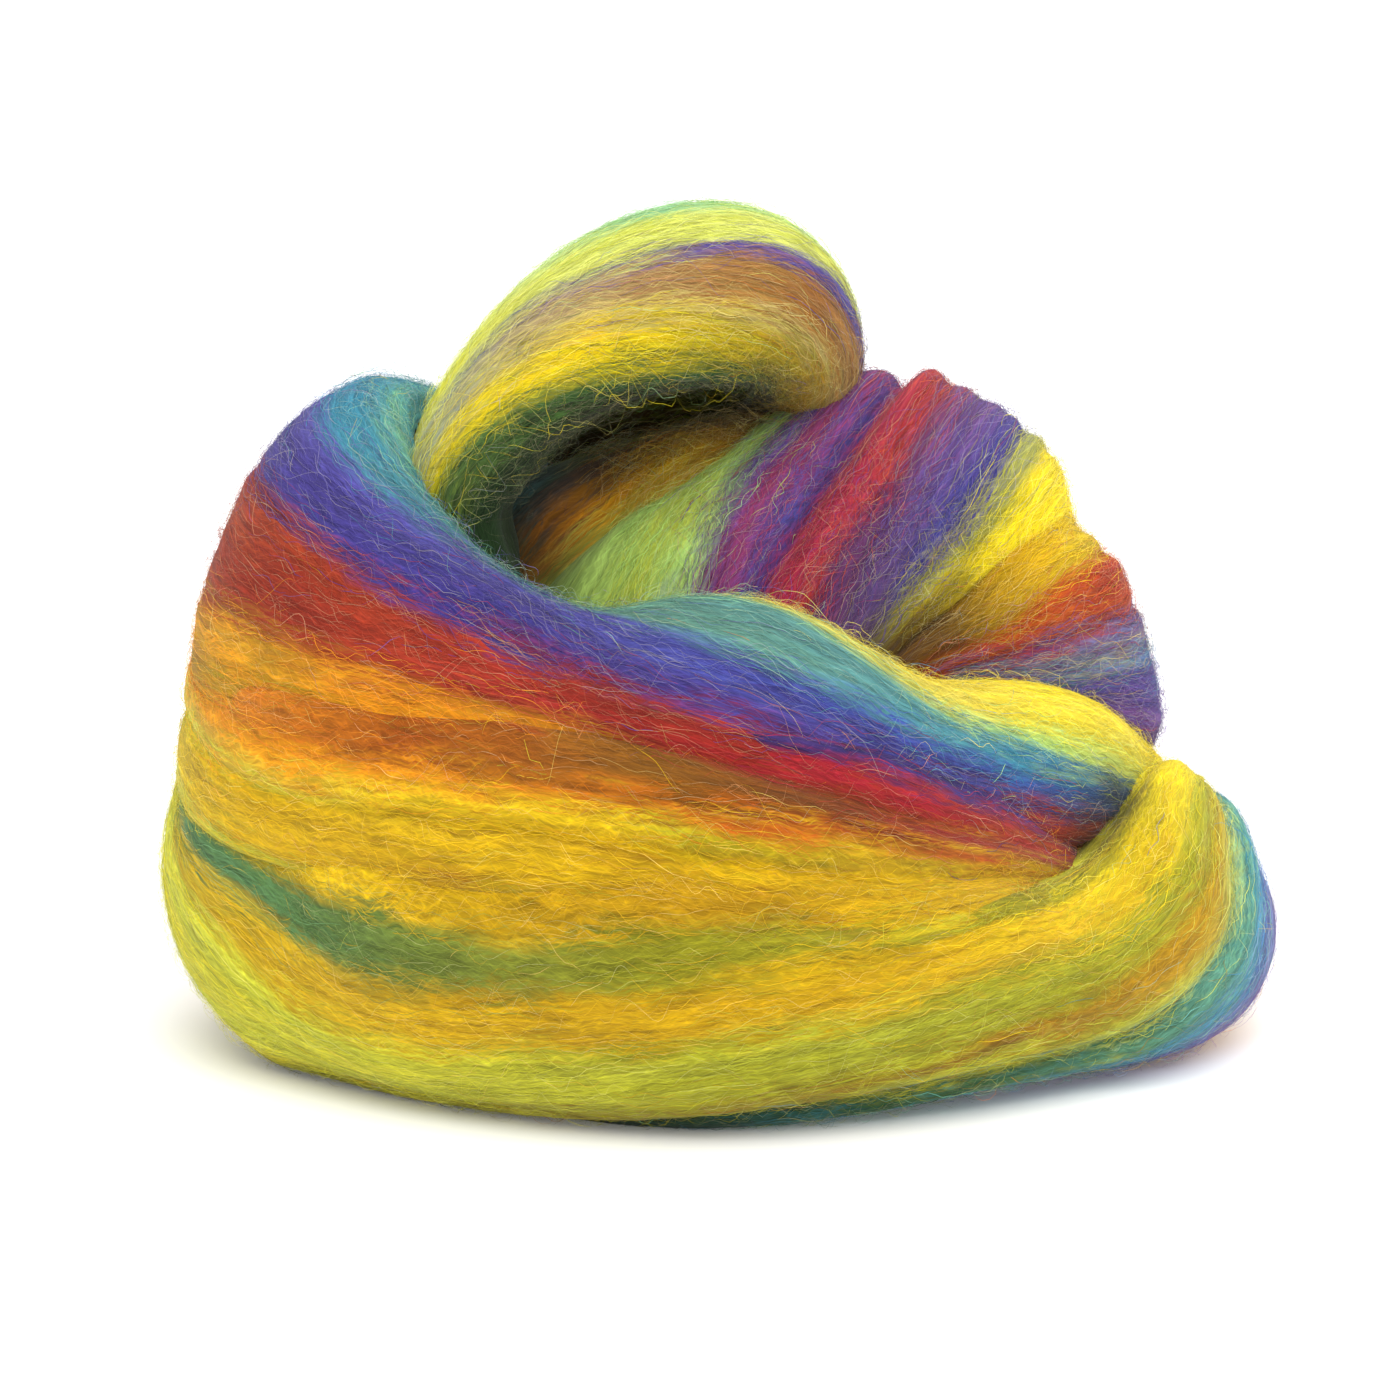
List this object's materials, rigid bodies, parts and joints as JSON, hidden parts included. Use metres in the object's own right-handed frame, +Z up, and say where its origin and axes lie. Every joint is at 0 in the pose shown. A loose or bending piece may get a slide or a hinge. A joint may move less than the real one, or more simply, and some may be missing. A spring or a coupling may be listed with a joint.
{
  "type": "wool roving bundle",
  "caption": "Loosely wound bundle of combed, variegated wool top: wide soft turns round a low ring, a fan of fibres over the back crest and one turn standing up as a loop.",
  "frame": {"origin": "middle of the bundle's box, on the flat it rests on", "axes": "+X to the right along the bundle's longest side, +Y to the back, +Z up"},
  "size_m": [0.1661, 0.1104, 0.1237],
  "materials": {
    "dyed_wool": "matte aligned wool fibre, dyed in lengthwise streaks of yellow, lime, green, teal, blue, violet, red and orange"
  },
  "bodies": {
    "root": {"roving": "dyed_wool"}
  },
  "joints": []
}
